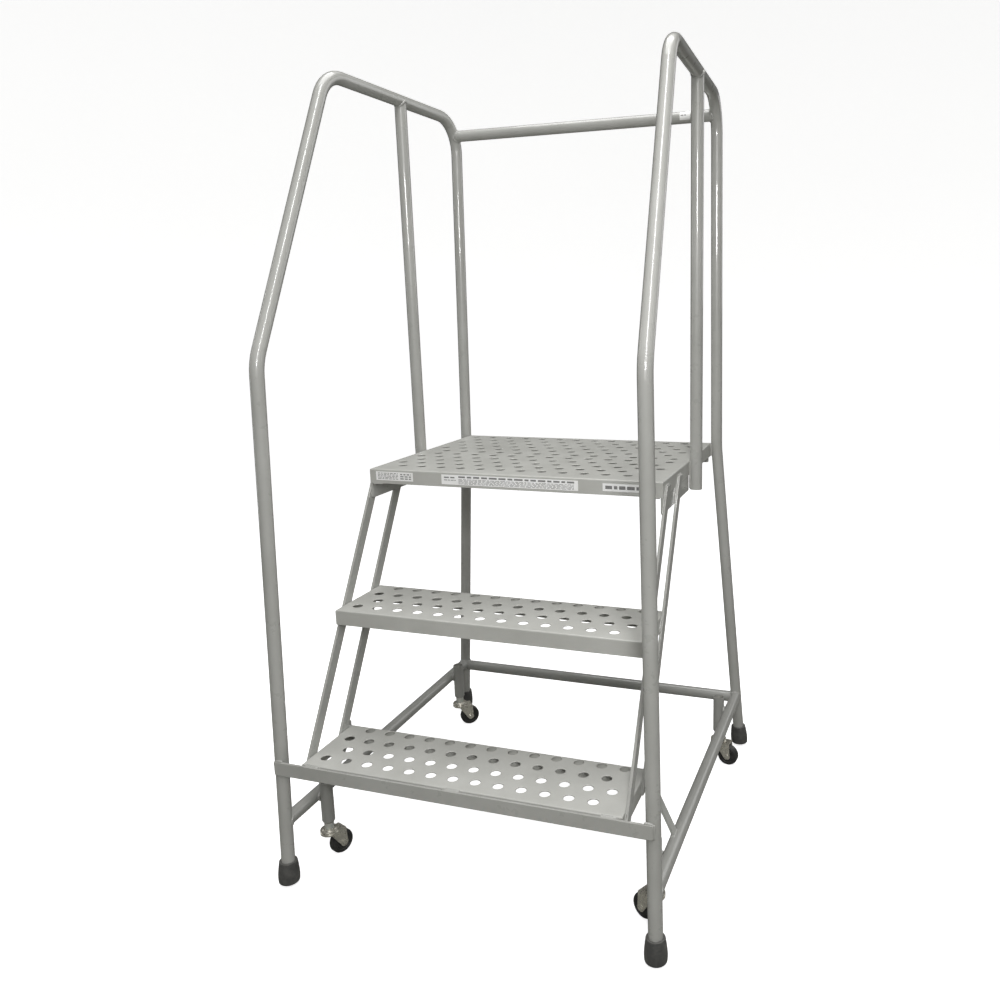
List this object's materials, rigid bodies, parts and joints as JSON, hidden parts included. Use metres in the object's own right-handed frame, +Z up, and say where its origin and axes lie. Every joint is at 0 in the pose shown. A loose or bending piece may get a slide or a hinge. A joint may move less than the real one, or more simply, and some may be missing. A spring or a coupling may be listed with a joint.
{
  "type": "rolling warehouse ladder",
  "caption": "Rolling warehouse ladder with perforated treads, a guarded platform and sprung swivel casters that let rubber tips grip the floor under a climber's weight.",
  "frame": {"origin": "on the floor, in the middle of the ladder's footprint", "axes": "+X is the climber's right, +Y points from the climbing side to the rear guard, +Z is up"},
  "size_m": [0.7986, 0.8172, 1.5392],
  "materials": {
    "grey_paint": "satin grey enamel",
    "zinc_plate": "bright zinc plate",
    "spring_steel": "drawn wire",
    "grey_nylon": "moulded",
    "wheel_rubber": "solid black rubber",
    "tip_rubber": "matte black rubber",
    "label_film": "printed film, blank"
  },
  "bodies": {
    "ladder_frame": {"left_side_tube": "grey_paint", "left_mid_post": "grey_paint", "left_base_rail": "grey_paint", "left_front_stringer": "grey_paint", "left_rear_stringer": "grey_paint", "left_platform_gusset": "grey_paint", "left_step_brace": "grey_paint", "rubber_tip_front_left": "tip_rubber", "rubber_tip_rear_left": "tip_rubber", "right_side_tube": "grey_paint", "right_mid_post": "grey_paint", "right_base_rail": "grey_paint", "right_front_stringer": "grey_paint", "right_rear_stringer": "grey_paint", "right_platform_gusset": "grey_paint", "right_step_brace": "grey_paint", "rubber_tip_front_right": "tip_rubber", "rubber_tip_rear_right": "tip_rubber", "upper_back_rail": "grey_paint", "rear_cross_tube": "grey_paint", "front_bar": "grey_paint", "bottom_step": "grey_paint", "middle_step": "grey_paint", "platform": "grey_paint", "platform_cross_member_middle": "grey_paint", "platform_cross_member_rear": "grey_paint", "platform_labels": "label_film", "caster_housing_front_left": "grey_paint", "caster_housing_front_right": "grey_paint", "caster_housing_rear_left": "grey_paint", "caster_housing_rear_right": "grey_paint"},
    "stem_front_left": {"caster_stem_front_left": "zinc_plate", "caster_sleeve_front_left": "grey_nylon", "caster_top_race_front_left": "zinc_plate", "caster_spring_front_left": "spring_steel"},
    "fork_front_left": {"caster_fork_front_left": "zinc_plate", "caster_axle_front_left": "zinc_plate"},
    "wheel_front_left": {"caster_wheel_front_left": "wheel_rubber"},
    "stem_front_right": {"caster_stem_front_right": "zinc_plate", "caster_sleeve_front_right": "grey_nylon", "caster_top_race_front_right": "zinc_plate", "caster_spring_front_right": "spring_steel"},
    "fork_front_right": {"caster_fork_front_right": "zinc_plate", "caster_axle_front_right": "zinc_plate"},
    "wheel_front_right": {"caster_wheel_front_right": "wheel_rubber"},
    "stem_rear_left": {"caster_stem_rear_left": "zinc_plate", "caster_sleeve_rear_left": "grey_nylon", "caster_top_race_rear_left": "zinc_plate", "caster_spring_rear_left": "spring_steel"},
    "fork_rear_left": {"caster_fork_rear_left": "zinc_plate", "caster_axle_rear_left": "zinc_plate"},
    "wheel_rear_left": {"caster_wheel_rear_left": "wheel_rubber"},
    "stem_rear_right": {"caster_stem_rear_right": "zinc_plate", "caster_sleeve_rear_right": "grey_nylon", "caster_top_race_rear_right": "zinc_plate", "caster_spring_rear_right": "spring_steel"},
    "fork_rear_right": {"caster_fork_rear_right": "zinc_plate", "caster_axle_rear_right": "zinc_plate"},
    "wheel_rear_right": {"caster_wheel_rear_right": "wheel_rubber"}
  },
  "joints": [
    {"name": "front_left_stem_slide", "type": "slide", "parent": "ladder_frame", "child": "stem_front_left", "axis": [0, 0, 1], "range_m": [0, 0.012], "stiffness_N_per_m": 5000, "springref_m": -0.018, "deforming": ["caster_spring_front_left"]},
    {"name": "front_left_swivel", "type": "hinge", "parent": "stem_front_left", "child": "fork_front_left", "pos_m": [-0.33818, -0.291, 0.056], "axis": [0, 0, 1], "continuous": true},
    {"name": "front_left_wheel_spin", "type": "hinge", "parent": "fork_front_left", "child": "wheel_front_left", "pos_m": [-0.3298, -0.26798, 0.024], "axis": [-0.9397, 0.342, 0], "continuous": true},
    {"name": "front_right_stem_slide", "type": "slide", "parent": "ladder_frame", "child": "stem_front_right", "axis": [0, 0, 1], "range_m": [0, 0.012], "stiffness_N_per_m": 5000, "springref_m": -0.018, "deforming": ["caster_spring_front_right"]},
    {"name": "front_right_swivel", "type": "hinge", "parent": "stem_front_right", "child": "fork_front_right", "pos_m": [0.33818, -0.291, 0.056], "axis": [0, 0, 1], "continuous": true},
    {"name": "front_right_wheel_spin", "type": "hinge", "parent": "fork_front_right", "child": "wheel_front_right", "pos_m": [0.31655, -0.2795, 0.024], "axis": [-0.4695, -0.8829, 0], "continuous": true},
    {"name": "rear_left_stem_slide", "type": "slide", "parent": "ladder_frame", "child": "stem_rear_left", "axis": [0, 0, 1], "range_m": [0, 0.012], "stiffness_N_per_m": 5000, "springref_m": -0.018, "deforming": ["caster_spring_rear_left"]},
    {"name": "rear_left_swivel", "type": "hinge", "parent": "stem_rear_left", "child": "fork_rear_left", "pos_m": [-0.34398, 0.2925, 0.056], "axis": [0, 0, 1], "continuous": true},
    {"name": "rear_left_wheel_spin", "type": "hinge", "parent": "fork_rear_left", "child": "wheel_rear_left", "pos_m": [-0.32577, 0.30889, 0.024], "axis": [-0.6691, 0.7431, 0], "continuous": true},
    {"name": "rear_right_stem_slide", "type": "slide", "parent": "ladder_frame", "child": "stem_rear_right", "axis": [0, 0, 1], "range_m": [0, 0.012], "stiffness_N_per_m": 5000, "springref_m": -0.018, "deforming": ["caster_spring_rear_right"]},
    {"name": "rear_right_swivel", "type": "hinge", "parent": "stem_rear_right", "child": "fork_rear_right", "pos_m": [0.34398, 0.2925, 0.056], "axis": [0, 0, 1], "continuous": true},
    {"name": "rear_right_wheel_spin", "type": "hinge", "parent": "fork_rear_right", "child": "wheel_rear_right", "pos_m": [0.36824, 0.28909, 0.024], "axis": [0.1392, 0.9903, 0], "continuous": true}
  ]
}
